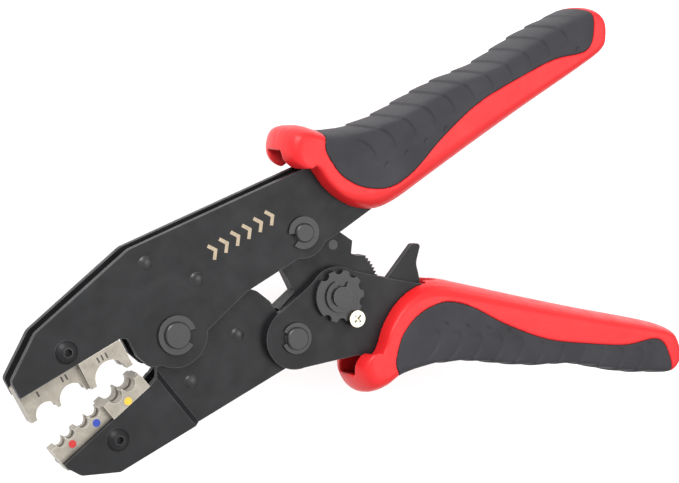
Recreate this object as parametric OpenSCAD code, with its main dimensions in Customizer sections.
// Ratcheting crimping tool for insulated terminals, lying open on its side.
// A toggle linkage of four pins shuts the jaw: the frame carries the main pin and the link pin,
// the moving handle carries the jaw pin and the adjuster pin.
// Origin: axis of the main pin, at the pin's back end. +X runs from the main pin towards the grips,
// +Y towards the fixed grip, +Z out of the front plates.

/* [Pivots, handles open] */
// Jaw pin, along the tool from the main pin
jaw_pin_x = 34.6; // [33.5:0.1:35.5]
// Jaw pin, across the tool from the main pin
jaw_pin_y = -21.7; // [-22.5:0.1:-21]
// Adjuster pin, along the tool
adjuster_x = 53.2; // [52.5:0.1:54]
// Adjuster pin, across the tool
adjuster_y = -17; // [-17.6:0.1:-16.4]
// Link pin, along the tool
link_pin_x = 52.6; // [52:0.1:54]
// Link pin, across the tool
link_pin_y = 7.1; // [6.5:0.1:8]
// Angle that the jaw turns through from open to shut
jaw_swing = 11.4; // [10:0.1:12]

/* [Pins] */
// Radius of the main pin
main_pin_r = 4.3; // [3.5:0.1:5.2]
// Radius of the jaw pin
jaw_pin_r = 3.7; // [3:0.1:4.5]
// Radius of the link pin
link_pin_r = 3.1; // [2.5:0.1:3.8]
// Radius of the adjuster pin's middle, on which the link turns
adjuster_r = 4.2; // [3.9:0.1:5]
// How far the adjuster pin's ends stand off its middle's axis
eccentric = 0.5; // [0.2:0.05:0.6]
// Radial running clearance of a pin in what turns on it
run_fit = 0.05; // [0.02:0.01:0.1]
// Radial clearance of the jaw pin in the jaw, the loose pivot of the linkage
loose_fit = 0.7; // [0.6:0.05:0.8]
// How far the pins stand out of the plates
pin_proud = 2; // [1.5:0.1:2.6]

/* [Plates] */
// Thickness of a frame plate
frame_t = 2.2; // [1.8:0.1:2.8]
// Thickness of a jaw plate
jaw_t = 2.2; // [1.8:0.05:2.4]
// Thickness of a moving handle plate
handle_t = 2.5; // [2:0.1:3]
// Thickness of one of the link's three plates
link_t = 1.8; // [1.5:0.05:1.83]
// Gap between the two frame plates
frame_gap = 5.6; // [5.6:0.1:7]
// Gap between the two handle plates
handle_gap = 6.4; // [6.3:0.1:7.6]
// Length of the head, from the main pin to the nose
head_l = 52.8; // [50:0.2:66]
// Height of the frame's crown above the main pin
crown_h = 31.6; // [28:0.2:38]

/* [Dies] */
// Length of the dies
die_l = 36; // [34:0.5:38]
// Height of the upper die's seat in the frame
upper_seat = 8.5; // [7.5:0.1:10]
// Depth of the lower die's seat in the jaw, jaws shut
lower_seat = 6.6; // [6:0.1:8]
// Height of the upper die's tips, below the main pin's level
tip_level = -0.8; // [-1.2:0.1:-0.4]
// Gap between the dies' tips when the jaws are shut
die_gap = 0.35; // [0.2:0.05:0.8]
// Length of the thick blocks at the dies' back ends
block_l = 15.2; // [13:0.1:15.6]
// Radius of the die screws' shanks
die_screw_r = 2; // [1.5:0.1:2.4]

/* [Grips] */
// Length of a grip
grip_l = 125; // [100:1:150]
// Width of a grip
grip_w = 26; // [24:0.1:31]
// Thickness of a grip
grip_t = 24; // [20:0.5:29]
// Angle between the moving handle and its mirror image of the fixed one
handle_open = 35.5; // [34.5:0.1:36.5]
// Length of the plates' tangs inside the grips
tang_l = 92; // [80:1:97]

/* [Ratchet] */
// Radius of the link's ratchet teeth, at their tips
tooth_r = 17.3; // [16.8:0.1:17.3]
// Depth of a ratchet tooth
tooth_depth = 1; // [0.6:0.1:1.2]
// Number of ratchet teeth
teeth = 14; // [10:1:14]
// Distance of the pawl's pin from the adjuster pin
pawl_reach = 24.5; // [24.3:0.1:25]
// Angle that the release lever turns through
release_swing = 12; // [6:1:14]

/* [Hidden] */
$fn = 48;

black_steel = [0.16, 0.16, 0.18];
dark_steel = [0.24, 0.24, 0.27];
bright_steel = [0.8, 0.79, 0.76];
nickel = [0.85, 0.84, 0.8];
grip_red = [0.88, 0.13, 0.13];
pad_black = [0.2, 0.2, 0.22];

// Places of the four pins, handles open
jaw_pin_at = [jaw_pin_x, jaw_pin_y];
adjuster_at = [adjuster_x, adjuster_y];
link_pin_at = [link_pin_x, link_pin_y];

// Levels, measured from the middle plane of the tool
frame_half = frame_gap / 2 + frame_t;
handle_half = handle_gap / 2 + handle_t;
side_play = 0.1;
jaw_rear_out = frame_gap / 2 - side_play;
main_pin_half = frame_half + pin_proud;
jaw_pin_half = handle_half + pin_proud;
wheel_t = 1.8;
wheel_z = handle_half + 0.1;
adjuster_top = wheel_z + wheel_t + pin_proud;
mid_z = main_pin_half;

// Radii of the lobes round the pins
main_lobe_r = main_pin_r + 6.2;
jaw_main_lobe_r = main_pin_r + 5.7;
jaw_lobe_r = jaw_pin_r + 4.3;
handle_lobe_r = jaw_pin_r + 6.5;
wheel_r = 8.5;
adjuster_lobe_r = wheel_r + 1.2;
link_foot_r = adjuster_r + 4.8;
link_pin_lobe_r = link_pin_r + 5.3;
link_head_r = link_pin_r + 7.4;

// Retaining rings
ring_t = 0.9;
ring_grip = 0.3;
ring_gap_angle = 50;

// The grips: where each one's own frame stands
fixed_root = [56.4, 13.9];
moving_root = [57.6, -26.1];
mouth_y = -12;
grip_fillet = 0.66;

// The pawl's pin sits on the handle, on a line from the adjuster pin
pawl_line = -38;
pawl_pin_at = adjuster_at + pawl_reach * [cos(pawl_line), sin(pawl_line)];
pawl_pin_r = 2;
pawl_t = 2;
pawl_z = -1.4;
lever_t = 2.3;
lever_z = 0.7;
pawl_lean = 115;
pawl_l = 8.3;

// Rivets and spring posts
frame_rivet_at = [[1.5, 25.2], [14, 12.2]];
jaw_rivet_at = [[-5.2, -15.6], [15.9, -14.7]];
link_rivet_at = link_pin_at + [8.3, -9.5];
spring_pin_at = link_pin_at + [-3.6, 6.7];
rivet_r = 1.5;
rivet_head_r = 2.3;
rivet_head_t = 0.9;
post_r = 1.9;
spring_pin_r = 1.1;

// ---------- outlines ----------

function unit(v) = v / norm(v);

// Points along the arc of radius r that rounds the corner b between a and c
function corner_arc(a, b, c, r, steps = 5) =
    let (
        u = unit(a - b),
        v = unit(c - b),
        half = acos(u * v) / 2,
        centre = b + unit(u + v) * r / sin(half),
        start = b + u * r / tan(half) - centre,
        stop = b + v * r / tan(half) - centre,
        from = atan2(start.y, start.x),
        turn = (atan2(stop.y, stop.x) - from + 540) % 360 - 180
    )
    [for (k = [0:steps]) centre + r * [cos(from + turn * k / steps), sin(from + turn * k / steps)]];

// A closed outline from [x, y, corner radius] points
function rounded(points) =
    let (n = len(points), flat = [for (p = points) [p.x, p.y]])
    [for (i = [0:n - 1]) each points[i].z > 0
        ? corner_arc(flat[(i + n - 1) % n], flat[i], flat[(i + 1) % n], points[i].z)
        : [flat[i]]];

// A smooth closed curve through the points
function smooth(points, steps = 5) =
    let (n = len(points))
    [for (i = [0:n - 1], k = [0:steps - 1])
        let (
            t = k / steps,
            a = points[(i + n - 1) % n],
            b = points[i],
            c = points[(i + 1) % n],
            d = points[(i + 2) % n]
        )
        0.5 * (2 * b + (c - a) * t + (2 * a - 5 * b + 4 * c - d) * t * t + (3 * b - a - 3 * c + d) * t * t * t)];

// Turns a point about the main pin
function turned(p, angle) = [p.x * cos(angle) - p.y * sin(angle), p.x * sin(angle) + p.y * cos(angle)];

module slab(z, t) translate([0, 0, z]) linear_extrude(t) children();

module at_level(z) translate([0, 0, z]) children();

module hole(at, r) translate([at.x, at.y, -grip_t]) cylinder(r = r, h = 2 * grip_t);

module at_mid_plane() translate([0, 0, mid_z]) children();

module back_side() mirror([0, 0, 1]) children();

module both_sides() {
    children();
    back_side() children();
}

// From the jaw as it stands when shut to where it stands open
module open_jaw() rotate(jaw_swing) children();

// From a grip's own frame, for a fixed grip, to each handle
module on_fixed() translate(fixed_root) children();

module on_moving() translate(moving_root) rotate(-handle_open) mirror([0, 1, 0]) children();

// ---------- retaining parts ----------

// A pin through the middle plane with a ring groove near each end
module grooved_pin(r, half, groove_z) {
    chamfer = 0.4;
    side = [[r, groove_z], [r - ring_grip, groove_z], [r - ring_grip, groove_z + ring_t],
            [r, groove_z + ring_t], [r, half - chamfer], [r - chamfer, half]];
    last = len(side) - 1;
    rotate_extrude()
        polygon(concat([[0, half], [0, -half]],
                       [for (i = [0:last]) [side[last - i].x, -side[last - i].y]], side));
}

// A snap ring, open over a short gap at the given angle
module snap_ring(pin_r, outer_r, z, gap_at) {
    slab(z, ring_t) difference() {
        circle(outer_r);
        circle(pin_r - ring_grip);
        rotate(gap_at) polygon([[0, 0], 2 * outer_r * [cos(ring_gap_angle / 2), sin(ring_gap_angle / 2)],
                                2 * outer_r * [cos(ring_gap_angle / 2), -sin(ring_gap_angle / 2)]]);
    }
}

// A rivet through the middle plane: shank, a thicker middle and two low domed heads
module rivet(at, half, middle_r, middle_half) {
    dome_r = (rivet_head_r * rivet_head_r + rivet_head_t * rivet_head_t) / (2 * rivet_head_t);
    translate(at) {
        cylinder(r = rivet_r, h = 2 * half, center = true);
        cylinder(r = middle_r, h = 2 * middle_half, center = true);
        both_sides() intersection() {
            translate([0, 0, half + rivet_head_t - dome_r]) sphere(dome_r);
            translate([0, 0, half]) cylinder(r = rivet_head_r, h = rivet_head_t);
        }
    }
}

// ---------- frame ----------

// The plates' tail inside a grip, in the grip's own frame
module tang_outline(margin = 0) {
    polygon(rounded([
        [8, mouth_y + 4 - margin, 0], [30, -8 - margin, 6], [tang_l + margin, -2.6 - margin, 3],
        [tang_l + margin, 6 + margin, 3], [30, 8 + margin, 6], [8, 9 + margin, 0]]));
}

module frame_web() {
    neck = link_pin_at + [10.6, -6.3];
    polygon(rounded([
        [-head_l, upper_seat, 0], [-head_l, upper_seat + 6, 2],
        [-head_l + 13.5, crown_h - 7.8, 4], [-1.3, crown_h, 6],
        [fixed_root.x + 8, fixed_root.y + 11, 0], [fixed_root.x + 24, fixed_root.y + 8, 0],
        [fixed_root.x + 30, fixed_root.y - 8, 0], [fixed_root.x + 20.7, fixed_root.y + mouth_y, 0],
        [neck.x + 1.3, neck.y, 2], [link_pin_at.x - 26, 0, 2], [8, -4.5, 3], [0, -main_lobe_r + 0.5, 0],
        [-8, -6.5, 0], [-12.4, -4.4, 1.5], [-14.4, 0.6, 2], [-14.4, upper_seat - 1.4, 1],
        [-head_l + die_l + 0.4, upper_seat, 0]]));
}

module frame_blank(t) {
    linear_extrude(t) frame_web();
    cylinder(r = main_lobe_r, h = t);
    translate(link_pin_at) cylinder(r = link_pin_lobe_r, h = t);
    on_fixed() linear_extrude(t) tang_outline();
}

die_screw_upper_at = [-head_l + 19.3, upper_seat + 5.2];

module frame_plate() {
    difference() {
        at_level(frame_gap / 2) frame_blank(frame_t);
        hole([0, 0], main_pin_r);
        hole(link_pin_at, link_pin_r);
        hole(die_screw_upper_at, die_screw_r);
        for (at = frame_rivet_at) hole(at, rivet_r);
        on_fixed() for (at = tang_rivet_at) hole(at, rivet_r);
    }
}

module frame_plate_front() color(black_steel) at_mid_plane() frame_plate();

module frame_plate_back() color(black_steel) at_mid_plane() back_side() frame_plate();

module frame_rivets() color(dark_steel) at_mid_plane()
    for (at = frame_rivet_at) rivet(at, frame_half, post_r, frame_gap / 2);

// Spacers and flush rivets that hold two tangs apart inside a grip
tang_rivet_at = [[0.45 * tang_l, 0], [0.88 * tang_l, 1.5]];

module tang_rivets(half, gap_half) {
    for (at = tang_rivet_at) translate(at) {
        cylinder(r = rivet_r, h = 2 * half, center = true);
        cylinder(r = rivet_r + 1.5, h = 2 * gap_half, center = true);
    }
}

module frame_tang_rivets() color(dark_steel) at_mid_plane()
    on_fixed() tang_rivets(frame_half, frame_gap / 2);

module main_pin() color(dark_steel) at_mid_plane() grooved_pin(main_pin_r, main_pin_half, frame_half);

module main_pin_rings() color(dark_steel) at_mid_plane()
    both_sides() snap_ring(main_pin_r, main_pin_r + 2, frame_half, -35);

module link_pin() color(dark_steel) at_mid_plane() translate(link_pin_at)
    grooved_pin(link_pin_r, main_pin_half, frame_half);

module link_pin_rings() color(dark_steel) at_mid_plane() translate(link_pin_at)
    both_sides() snap_ring(link_pin_r, link_pin_r + 2.2, frame_half, 180);

// ---------- dies ----------

// Crimping nests: distance of each one's middle from the nose, and its radius
nests = [[5.9, 3.8], [15.4, 4.6], [28.4, 5.5]];
channel_w = 2.2;
channel_depth = 1.3;
block_proud = 0.2;

module upper_nests(extra) {
    for (nest = nests) translate([-head_l + nest[0], tip_level]) circle(nest[1] + extra);
}

// Each lower nest is two hollows with a ridge between them
module lower_nests(level) {
    for (nest = nests, side = [-1, 1])
        translate([-head_l + nest[0] + side * 0.5 * nest[1], level]) circle(0.43 * nest[1]);
}

// The upper die's tongue between the frame plates
module upper_die_outline() {
    back = -head_l + die_l;
    polygon([[-head_l, tip_level], [-head_l, upper_seat + 2.6], [-head_l + 6, upper_seat + 6],
             [-head_l + 14, upper_seat + 9.5], [back - 3, upper_seat + 9.5], [back, upper_seat + 3],
             [back, tip_level]]);
}

// The lower die's tongue between the jaw plates, jaws shut
module lower_die_outline() {
    back = -head_l + die_l;
    level = tip_level - die_gap;
    polygon([[-head_l, level], [-head_l, -lower_seat - 3], [-head_l + 9, -lower_seat - 9],
             [back - 3, -lower_seat - 9], [back, -lower_seat - 3], [back, level]]);
}

module block_outline(low, high) {
    back = -head_l + die_l;
    polygon(rounded([[back - block_l, low, 0], [back - block_l, high, 0], [back, high, 1.2], [back, low, 0]]));
}

module die_upper() color(bright_steel) at_mid_plane() difference() {
    union() {
        slab(-frame_gap / 2, frame_gap) difference() {
            upper_die_outline();
            upper_nests(0);
        }
        slab(-frame_half - block_proud, 2 * (frame_half + block_proud)) difference() {
            block_outline(tip_level, upper_seat);
            upper_nests(0);
        }
    }
    slab(-channel_w / 2, channel_w) upper_nests(channel_depth);
    hole(die_screw_upper_at, die_screw_r);
}

die_screw_lower_at = [-head_l + 17.7, -lower_seat - 5.8];

module die_lower() color(bright_steel) at_mid_plane() open_jaw() difference() {
    level = tip_level - die_gap;
    union() {
        slab(-frame_gap / 2, frame_gap) lower_die_outline();
        slab(-frame_half - block_proud, 2 * (frame_half + block_proud)) block_outline(-lower_seat, level);
    }
    slab(-grip_t, 2 * grip_t) lower_nests(level);
    slab(-channel_w / 2, channel_w) for (nest = nests)
        translate([-head_l + nest[0] - 0.93 * nest[1], level - 0.43 * nest[1] - channel_depth])
            square([1.86 * nest[1], 3 * nest[1]]);
    hole(die_screw_lower_at, die_screw_r);
}

// A button-head socket screw through a pair of plates
module button_screw(shank_r, half, end_half) {
    head_r = 1.9 * shank_r;
    head_t = 1.1 * shank_r;
    dome_r = (head_r * head_r + head_t * head_t) / (2 * head_t);
    difference() {
        union() {
            translate([0, 0, -end_half]) cylinder(r = shank_r, h = end_half + half);
            intersection() {
                translate([0, 0, half + head_t - dome_r]) sphere(dome_r);
                translate([0, 0, half]) cylinder(r = head_r, h = head_t);
            }
        }
        translate([0, 0, half + 0.3]) cylinder(r = 0.72 * shank_r, h = head_t, $fn = 6);
    }
}

// A thin hexagon nut on the back plate
nut_t = 1.8;

module back_nut(shank_r, half) {
    translate([0, 0, -half - nut_t]) difference() {
        cylinder(r = 2.02 * shank_r, h = nut_t, $fn = 6);
        translate([0, 0, -1]) cylinder(r = shank_r, h = nut_t + 2);
    }
}

module die_screw_upper() color(black_steel) at_mid_plane() translate(die_screw_upper_at)
    button_screw(die_screw_r, frame_half, frame_half + nut_t);

module die_nut_upper() color(dark_steel) at_mid_plane() translate(die_screw_upper_at)
    back_nut(die_screw_r, frame_half);

module die_screw_lower() color(black_steel) at_mid_plane() open_jaw() translate(die_screw_lower_at)
    button_screw(die_screw_r, frame_half, frame_half + nut_t);

module die_nut_lower() color(dark_steel) at_mid_plane() open_jaw() translate(die_screw_lower_at)
    back_nut(die_screw_r, frame_half);

// ---------- jaw, drawn shut ----------

bend_x = -main_lobe_r - 2.9;
bend_l = 2;
jaw_pin_shut = turned(jaw_pin_at, -jaw_swing);

module jaw_blank(t) {
    heel = jaw_lobe_r * [-sin(jaw_swing + 0.7), -cos(jaw_swing + 0.7)];
    linear_extrude(t) polygon(rounded([
        [-head_l, -lower_seat, 0], [-head_l, -lower_seat - 1.5, 2], [-head_l + 1.9, -13.1, 3],
        [-head_l + 11.9, -21, 3], [jaw_pin_shut.x + heel.x, jaw_pin_shut.y + heel.y, 0],
        [jaw_pin_shut.x, jaw_pin_shut.y, 0], [jaw_pin_shut.x + 1.4, jaw_pin_shut.y + 14.1, 3],
        [jaw_pin_shut.x - 0.2, jaw_pin_shut.y + 21, 4], [8, 4, 3], [-4, 3, 0], [-9.5, -3.5, 2],
        [bend_x + 0.5, -lower_seat + 0.7, 1], [-head_l + die_l + 0.4, -lower_seat, 0]]));
    cylinder(r = jaw_main_lobe_r, h = t);
    translate(jaw_pin_shut) cylinder(r = jaw_lobe_r, h = t);
}

// Edge view of a jaw plate: its front lies level with the frame, its rear steps in between the frame plates
module jaw_profile() {
    far = 2 * head_l;
    polygon([[-far, frame_gap / 2], [bend_x, frame_gap / 2], [bend_x + bend_l, jaw_rear_out - jaw_t],
             [far, jaw_rear_out - jaw_t], [far, jaw_rear_out], [bend_x + bend_l, jaw_rear_out],
             [bend_x, frame_half], [-far, frame_half]]);
}

module jaw_plate() open_jaw() difference() {
    intersection() {
        at_level(-1) jaw_blank(grip_t);
        translate([0, head_l, 0]) rotate([90, 0, 0]) linear_extrude(2 * head_l) jaw_profile();
    }
    hole([0, 0], main_pin_r + run_fit);
    hole(jaw_pin_shut, jaw_pin_r + loose_fit);
    hole(die_screw_lower_at, die_screw_r);
    for (at = jaw_rivet_at) hole(at, rivet_r);
}

module jaw_plate_front() color(black_steel) at_mid_plane() jaw_plate();

module jaw_plate_back() color(black_steel) at_mid_plane() back_side() jaw_plate();

module jaw_rivets() color(dark_steel) at_mid_plane() open_jaw()
    for (at = jaw_rivet_at) rivet(at, jaw_rear_out, post_r, jaw_rear_out - jaw_t);

// ---------- link ----------

// Ratchet teeth on an arc about the adjuster pin, from top_angle down
tooth_pitch = 4.3;
tooth_top = 19;
function tooth_point(i, r) = adjuster_at + r * [cos(tooth_top - i * tooth_pitch / 2), sin(tooth_top - i * tooth_pitch / 2)];

module link_blank(t) {
    teeth_path = [for (i = [0:2 * teeth]) tooth_point(i, i % 2 == 0 ? tooth_r : tooth_r - tooth_depth)];
    horn = link_pin_at + [14.9, -11.7];
    linear_extrude(t) polygon(concat(
        [link_pin_at + [-link_head_r, 0], link_pin_at, link_pin_at + [link_head_r, -1],
         link_pin_at + [11.9, -6.3], horn, horn + [-2.3, -3.5], horn + [-1.1, -5]],
        teeth_path,
        [adjuster_at + [4, -link_foot_r + 1], adjuster_at + [-link_foot_r, 1],
         adjuster_at + [-10, 5.6], adjuster_at + [-18, 4.3], adjuster_at + [-18.5, 5.7],
         adjuster_at + [-11.2, 8.1]]));
    translate(adjuster_at) cylinder(r = link_foot_r, h = t);
    translate(link_pin_at) cylinder(r = link_head_r, h = t);
}

module link_plate(layer) {
    difference() {
        at_level((layer - 0.5) * link_t) link_blank(link_t);
        hole(link_pin_at, link_pin_r + run_fit);
        hole(adjuster_at, adjuster_r + run_fit);
        hole(link_rivet_at, rivet_r);
        if (layer == 0) slab(-link_t, 2 * link_t) translate(spring_pin_at) {
            circle(4.4);
            translate([-12, -4.4]) square([12, 12]);
        } else hole(spring_pin_at, spring_pin_r);
    }
}

module link_plate_front() color(black_steel) at_mid_plane() link_plate(1);

module link_plate_middle() color(black_steel) at_mid_plane() link_plate(0);

module link_plate_back() color(black_steel) at_mid_plane() link_plate(-1);

module link_rivets() color(dark_steel) at_mid_plane() translate(link_rivet_at)
    cylinder(r = rivet_r, h = 3 * link_t, center = true);

module link_spring_pin() color(dark_steel) at_mid_plane() translate(spring_pin_at)
    cylinder(r = spring_pin_r, h = 3 * link_t, center = true);

// ---------- moving handle ----------

// The tang's corners in the grip's own frame, each with its radius
tang_corners = [[30, -8, 6], [tang_l, -2.6, 3], [tang_l, 6, 3], [30, 8, 6], [13, 8.7, 0]];

// A corner of the moving grip's frame, placed in the tool
function moving_point(corner) =
    let (p = moving_root + turned([corner.x, -corner.y], -handle_open)) [p.x, p.y, corner.z];

module handle_web() {
    polygon(rounded([
        [jaw_pin_at.x - 4.6, jaw_pin_at.y + handle_lobe_r - 1.1, 0],
        [adjuster_at.x - 7.5, adjuster_at.y + adjuster_lobe_r - 1.9, 3],
        [adjuster_at.x, adjuster_at.y + adjuster_lobe_r, 5], [adjuster_at.x + 5.5, adjuster_at.y + 7.4, 4],
        [adjuster_at.x + 19.3, adjuster_at.y - 4.5, 4], [adjuster_at.x + 29.5, adjuster_at.y - 12.6, 0],
        each [for (corner = tang_corners) moving_point(corner)], [adjuster_at.x + 6, adjuster_at.y - 26.6, 0],
        [adjuster_at.x - 2.2, adjuster_at.y - 20.9, 4],
        [jaw_pin_at.x - 4, jaw_pin_at.y - handle_lobe_r + 0.9, 0], [jaw_pin_at.x, jaw_pin_at.y, 0]]));
}

module handle_blank(t) {
    linear_extrude(t) handle_web();
    translate(jaw_pin_at) cylinder(r = handle_lobe_r, h = t);
    translate(adjuster_at) cylinder(r = adjuster_lobe_r, h = t);
}

adjuster_end_at = adjuster_at + [eccentric, 0];
adjuster_end_r = adjuster_r - eccentric - 0.4;
lock_screw_at = adjuster_at + [2, -9.2];
lock_screw_r = 1.5;

module handle_plate() {
    difference() {
        at_level(handle_gap / 2) handle_blank(handle_t);
        hole(jaw_pin_at, jaw_pin_r);
        hole(adjuster_end_at, adjuster_end_r);
        hole(pawl_pin_at, pawl_pin_r);
        on_moving() for (at = tang_rivet_at) hole(at, rivet_r);
    }
}

module handle_plate_front() color(black_steel) at_mid_plane() difference() {
    handle_plate();
    hole(lock_screw_at, lock_screw_r);
}

module handle_plate_back() color(black_steel) at_mid_plane() back_side() handle_plate();

module handle_tang_rivets() color(dark_steel) at_mid_plane()
    on_moving() tang_rivets(handle_half, handle_gap / 2);

module jaw_pin() color(dark_steel) at_mid_plane() translate(jaw_pin_at)
    grooved_pin(jaw_pin_r, jaw_pin_half, handle_half);

module jaw_pin_rings() color(dark_steel) at_mid_plane() translate(jaw_pin_at)
    both_sides() snap_ring(jaw_pin_r, jaw_pin_r + 1.4, handle_half, 150);

// Thin washers between the jaw plates and the handle plates
module jaw_pin_washers() color(dark_steel) at_mid_plane() translate(jaw_pin_at) both_sides()
    slab(frame_gap / 2, handle_gap / 2 - frame_gap / 2) difference() {
        circle(jaw_pin_r + 3);
        circle(jaw_pin_r);
    }

// The link turns on the pin's middle; the ends stand off its axis, so turning the wheel
// moves the middle and sets the crimping force
module adjuster_pin() color(dark_steel) at_mid_plane() {
    translate(adjuster_at) cylinder(r = adjuster_r, h = handle_gap, center = true);
    translate(adjuster_end_at) difference() {
        translate([0, 0, -jaw_pin_half]) cylinder(r = adjuster_end_r, h = jaw_pin_half + adjuster_top);
        for (z = [-handle_half - ring_t, wheel_z + wheel_t]) slab(z, ring_t) difference() {
            circle(adjuster_end_r + 1);
            circle(adjuster_end_r - ring_grip);
        }
    }
}

notch_r = 1.6;
notch_pitch = 36;

module adjuster_wheel() color(dark_steel) at_mid_plane() translate(adjuster_end_at) difference() {
    cylinder_wheel();
    for (i = [0:7]) rotate(i * notch_pitch - 77.7 - 2 * notch_pitch)
        translate([wheel_r + 0.3, 0, handle_half]) cylinder(r = notch_r, h = 3 * wheel_t);
    hole([0, 0], adjuster_end_r);
}

module cylinder_wheel() {
    translate([0, 0, wheel_z]) cylinder(r = wheel_r, h = wheel_t);
}

module adjuster_rings() color(dark_steel) at_mid_plane() translate(adjuster_end_at) {
    snap_ring(adjuster_end_r, adjuster_end_r + 2, wheel_z + wheel_t, 60);
    snap_ring(adjuster_end_r, adjuster_end_r + 2, -handle_half - ring_t, 60);
}

// The cross-head screw whose shank stands in one of the wheel's notches and locks it
module adjuster_lock_screw() color(nickel) at_mid_plane() translate(lock_screw_at) {
    seat = wheel_z + wheel_t;
    head_r = 2.75;
    head_t = 1.3;
    difference() {
        union() {
            translate([0, 0, seat]) cylinder(r = head_r, h = head_t);
            translate([0, 0, handle_gap / 2]) cylinder(r = lock_screw_r, h = seat - handle_gap / 2);
        }
        translate([0, 0, seat + head_t]) for (angle = [20, 110]) rotate(angle)
            cube([3.2, 0.7, 1.4], center = true);
    }
}

// ---------- ratchet and release ----------

module pawl() color(dark_steel) at_mid_plane() translate(pawl_pin_at) difference() {
    slab(pawl_z, pawl_t) {
        circle(3.6);
        rotate(pawl_lean) polygon([[0, -2.9], [0.8 * pawl_l, -1.4], [pawl_l, 0], [0.8 * pawl_l, 1.1], [0, 3.2]]);
        rotate(pawl_lean + 190) translate([0, -1.6]) square([6, 3.2]);
    }
    hole([0, 0], pawl_pin_r + run_fit);
}

module lever_blank() {
    cylinder(r = 4.4, h = lever_t);
    linear_extrude(lever_t) polygon(rounded([[-3.9, 2, 0], [0.2, 10.3, 1.2], [13.2, 15.9, 1.5], [16.2, 14.4, 1], [11.7, 9.5, 5],
                     [10.3, 3.4, 2], [3, -3.2, 0]]));
}

module release_lever() color(black_steel) at_mid_plane() translate(pawl_pin_at) difference() {
    at_level(lever_z) lever_blank();
    hole([0, 0], pawl_pin_r + run_fit);
}

module pawl_pin() color(dark_steel) at_mid_plane() translate(pawl_pin_at)
    cylinder(r = pawl_pin_r, h = 2 * handle_half, center = true);

// ---------- springs ----------

// A round wire swept along a path, its section carried on from point to point
module wire(path, r, sides = 6) {
    last = len(path) - 1;
    along = [for (i = [0:last]) unit(path[min(i + 1, last)] - path[max(i - 1, 0)])];
    first_across = unit(cross(along[0], [0.31, 0.27, 0.91]));
    across = [for (i = 0, v = first_across; i <= last;
                   i = i + 1, v = i <= last ? unit(v - (v * along[i]) * along[i]) : v) v];
    points = [for (i = [0:last], k = [0:sides - 1])
        path[i] + r * (cos(360 * k / sides) * across[i] + sin(360 * k / sides) * cross(along[i], across[i]))];
    walls = [for (i = [0:last - 1], k = [0:sides - 1])
        [i * sides + k, i * sides + (k + 1) % sides, (i + 1) * sides + (k + 1) % sides, (i + 1) * sides + k]];
    polyhedron(points, concat([[for (k = [0:sides - 1]) sides - 1 - k]],
                              [for (wall = walls) [wall[0], wall[1], wall[2]]],
                              [for (wall = walls) [wall[0], wall[2], wall[3]]],
                              [[for (k = [0:sides - 1]) last * sides + k]]));
}

// Tension spring between the frame's post and the link's pin: an eye at each end and a coil
spring_wire_r = 0.4;
spring_coil_r = 1.9;
spring_turns = 12;
spring_steps = 9;

function return_spring_path() =
    let (
        length = norm(spring_pin_at - frame_rivet_at[1]),
        eye_r = post_r + spring_wire_r + 0.15,
        hook_r = spring_pin_r + spring_wire_r + 0.15,
        coil_from = eye_r + 3.5,
        coil_l = length - hook_r - 9 - coil_from,
        steps = spring_turns * spring_steps
    )
    concat(
        [for (a = [60:20:340]) [eye_r * cos(a), eye_r * sin(a), 0]],
        [for (k = [0:steps]) [coil_from + coil_l * k / steps, spring_coil_r * cos(360 * k / spring_steps),
                              spring_coil_r * sin(360 * k / spring_steps)]],
        [for (a = [200:20:480]) [length + hook_r * cos(a), hook_r * sin(a), 0]]);

module return_spring() color(nickel) at_mid_plane() {
    span = spring_pin_at - frame_rivet_at[1];
    translate(frame_rivet_at[1]) rotate(atan2(span.y, span.x)) wire(return_spring_path(), spring_wire_r);
}

// Torsion spring round the pawl's pin, one leg on the pawl's tail and one on the handle
pawl_wire_r = 0.3;

function pawl_spring_path() =
    let (coil_r = pawl_pin_r + pawl_wire_r + 0.15, rise = 2 * pawl_wire_r + 0.05, leg = 8)
    concat(
        [[coil_r, leg, 0], [coil_r, leg / 2, 0]],
        [for (a = [0:24:540]) [coil_r * cos(a), -coil_r * sin(a), rise * a / 360]],
        [[-coil_r, leg / 2, 1.5 * rise], [-coil_r, leg, 1.5 * rise]]);

module pawl_spring() color(nickel) at_mid_plane()
    translate([pawl_pin_at.x, pawl_pin_at.y, -handle_gap / 2 + pawl_wire_r + 0.1])
        rotate(130) wire(pawl_spring_path(), pawl_wire_r);

// ---------- grips, in the fixed grip's own frame ----------

// Edge of the grip from the nose along the back, round the end and back along the inner side,
// as shares of the grip's length and width
grip_edge = [
    [0.003, 0.66], [0.011, 0.838], [0.045, 0.992], [0.092, 0.915], [0.133, 0.738], [0.211, 0.577],
    [0.319, 0.477], [0.44, 0.477], [0.535, 0.458], [0.639, 0.392], [0.737, 0.419], [0.82, 0.442],
    [0.918, 0.412], [0.976, 0.362], [1, 0.154], [0.983, -0.085], [0.952, -0.227], [0.864, -0.285],
    [0.672, -0.346], [0.48, -0.423], [0.32, -0.496], [0.228, -0.531], [0.171, -0.488],
    [0.125, -0.342], [0.093, -0.146], [0.069, 0.112], [0.059, 0.377], [0.045, 0.5], [0.021, 0.5]];

// Edge of the soft pad on the grip's back, closed off outside the grip
pad_edge = [
    [0.125, 0.77], [0.103, 0.577], [0.104, 0.365], [0.115, 0.154], [0.152, -0.088], [0.218, -0.265],
    [0.3, -0.246], [0.41, -0.07], [0.544, 0.073], [0.68, 0.081], [0.8, 0.05], [0.9, -0.07],
    [0.946, 0.135], [0.956, 0.423], [0.9, 1], [0.5, 1.2], [0.144, 1.2]];

function grip_scaled(edge) = [for (p = edge) [p.x * grip_l, p.y * grip_w]];

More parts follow.
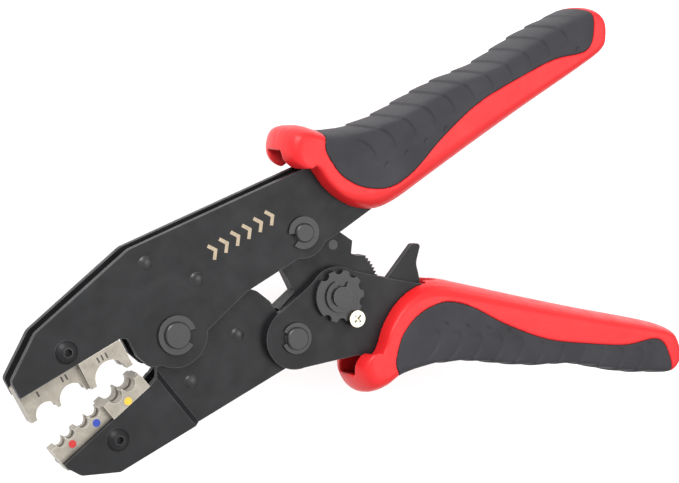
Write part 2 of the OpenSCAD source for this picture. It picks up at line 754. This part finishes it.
// The grip is widest on the middle plane and draws in towards its flat sides
grip_spine = grip_scaled([[0.1, 0.331], [0.93, 0.132]]);
function spine_point(p) =
    let (span = grip_spine[1] - grip_spine[0], t = (p - grip_spine[0]) * span / (span * span))
    grip_spine[0] + span * min(max(t, 0), 1);

grip_layers = 6;

// Two triangles of a flat side, between the grip's back edge and its inner edge
function flat_side(i, n, first, way) =
    let (a = first + i, b = first + i + 1, c = first + n - 2 - i, d = first + n - 1 - i)
    way > 0 ? [[a, d, b], [b, d, c]] : [[a, b, d], [b, c, d]];

module grip_body() {
    edge = smooth(grip_scaled(grip_edge), 4);
    n = len(edge);
    levels = [for (k = [-grip_layers:grip_layers]) 90 * k / grip_layers];
    points = [for (a = levels, p = edge)
        let (q = spine_point(p) + (p - spine_point(p)) * (grip_fillet + (1 - grip_fillet) * pow(cos(a), 0.8)))
        [q.x, q.y, grip_t / 2 * sin(a)]];
    rings = len(levels) - 1;
    polyhedron(points, concat(
        [for (i = [0:n / 2 - 2]) each flat_side(i, n, 0, 1)],
        [for (k = [0:rings - 1], i = [0:n - 1]) [k * n + i, (k + 1) * n + (i + 1) % n, (k + 1) * n + i]],
        [for (k = [0:rings - 1], i = [0:n - 1]) [k * n + i, k * n + (i + 1) % n, (k + 1) * n + (i + 1) % n]],
        [for (i = [0:n / 2 - 2]) each flat_side(i, n, rings * n, -1)]));
}

module pad_region() linear_extrude(2 * grip_t, center = true) polygon(smooth(grip_scaled(pad_edge)));

core_wall = 2;
module core(half) linear_extrude(2 * (half + core_wall), center = true) tang_outline(core_wall);

// The pad's room on the grip's back, down to the core round the tang
module pad_room(half) difference() {
    pad_region();
    core(half);
}

// Slot for the plates: open through the nose, then as deep as the tang
module plate_slot() {
    window_top = 0.777 * grip_w;
    polygon([[-6, -16], [14, -16], [22, mouth_y - 0.6], [32, mouth_y + 3.7], [tang_l, -2.6],
             [tang_l, 6], [30, 8], [13, 14], [13, window_top], [-6, window_top]]);
}

module grip_shell(half) difference() {
    grip_body();
    pad_room(half);
    slab(-half, 2 * half) plate_slot();
}

module grip_pad(half) intersection() {
    grip_body();
    pad_room(half);
}

module fixed_grip_shell() color(grip_red) at_mid_plane() on_fixed() grip_shell(frame_half);

module fixed_grip_pad() color(pad_black) at_mid_plane() on_fixed() grip_pad(frame_half);

// The slot is wider at the mouth, where the release lever swings in
module moving_grip_shell() color(grip_red) at_mid_plane() on_moving() difference() {
    grip_shell(handle_half);
    slab(-handle_gap / 2, handle_gap) polygon([[10, -4], [10, -18], [28, -18], [28, -9], [22, -3]]);
}

module moving_grip_pad() color(pad_black) at_mid_plane() on_moving() grip_pad(handle_half);

frame_plate_front();
frame_plate_back();
frame_rivets();
frame_tang_rivets();
die_upper();
die_screw_upper();
die_nut_upper();
jaw_plate_front();
jaw_plate_back();
jaw_rivets();
die_lower();
die_screw_lower();
die_nut_lower();
main_pin();
main_pin_rings();
link_plate_front();
link_plate_middle();
link_plate_back();
link_rivets();
link_pin();
link_pin_rings();
link_spring_pin();
handle_plate_front();
handle_plate_back();
handle_tang_rivets();
jaw_pin();
jaw_pin_rings();
jaw_pin_washers();
adjuster_pin();
adjuster_wheel();
adjuster_rings();
adjuster_lock_screw();
pawl();
pawl_pin();
pawl_spring();
release_lever();
return_spring();
fixed_grip_shell();
fixed_grip_pad();
moving_grip_shell();
moving_grip_pad();
